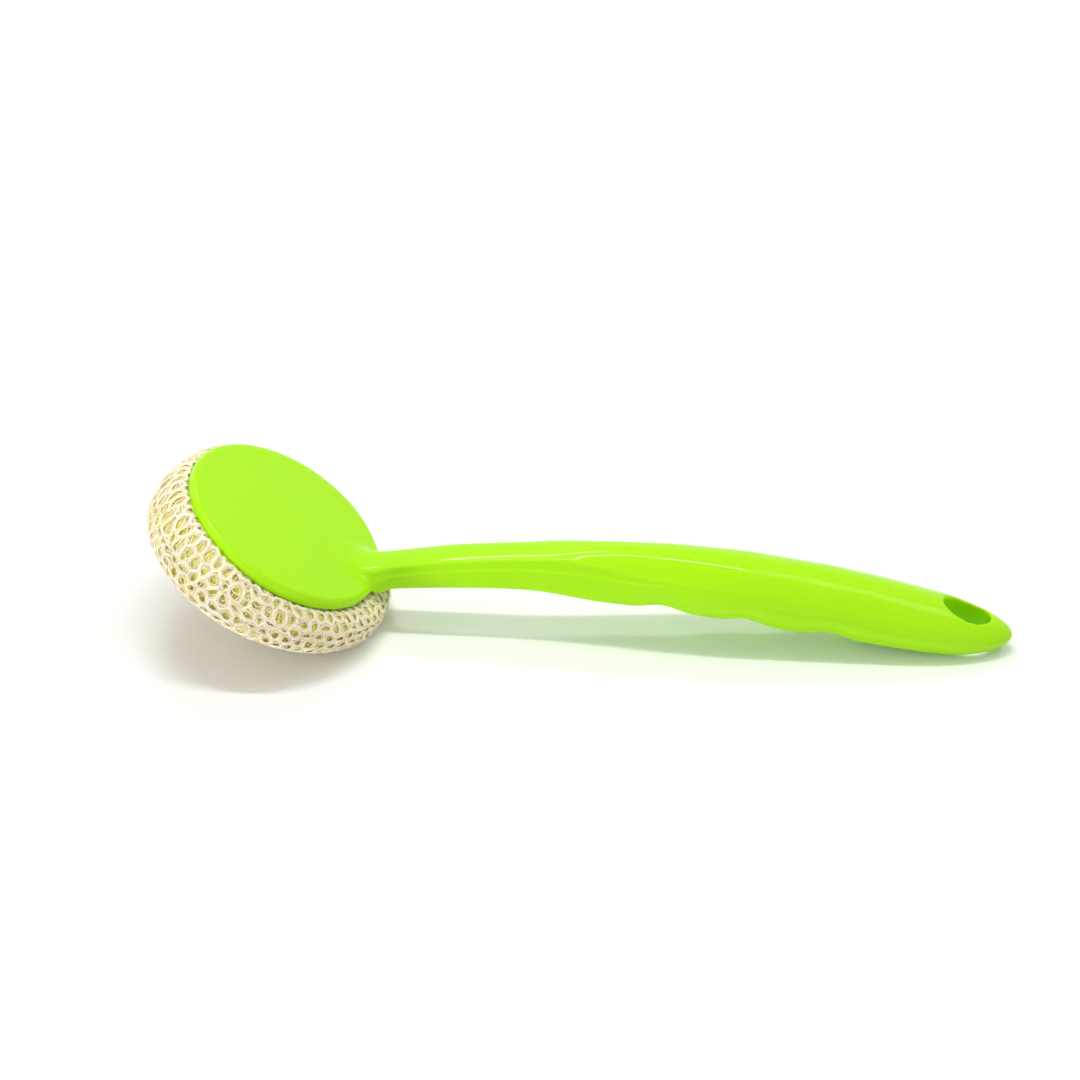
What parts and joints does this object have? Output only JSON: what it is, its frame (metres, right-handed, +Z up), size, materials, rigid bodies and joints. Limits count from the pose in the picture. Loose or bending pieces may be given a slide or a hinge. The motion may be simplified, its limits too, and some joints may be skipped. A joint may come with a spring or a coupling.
{
  "type": "kitchen scouring brush",
  "caption": "Long-handled kitchen scouring brush: a one-piece plastic handle and round cap holding a foam pad in a knitted net.",
  "frame": {"origin": "on the worktop, under the middle of the brush's bounding box, as the brush lies at rest on its pad and the end of its handle", "axes": "+Z up, +X along the handle from the head to the tail, +Y to the left as seen from the head"},
  "size_m": [0.28, 0.0854, 0.0568],
  "materials": {
    "green_plastic": "glossy",
    "white_plastic": "natural, as moulded",
    "yellow_foam": "open-cell foam",
    "cream_net": "knitted yarn",
    "cream_cord": "twisted yarn"
  },
  "bodies": {
    "root": {"handle": "green_plastic", "retaining_plate": "white_plastic", "foam_core": "yellow_foam", "net_cover": "cream_net", "draw_cord": "cream_cord", "navel_tie": "cream_cord"}
  },
  "joints": []
}
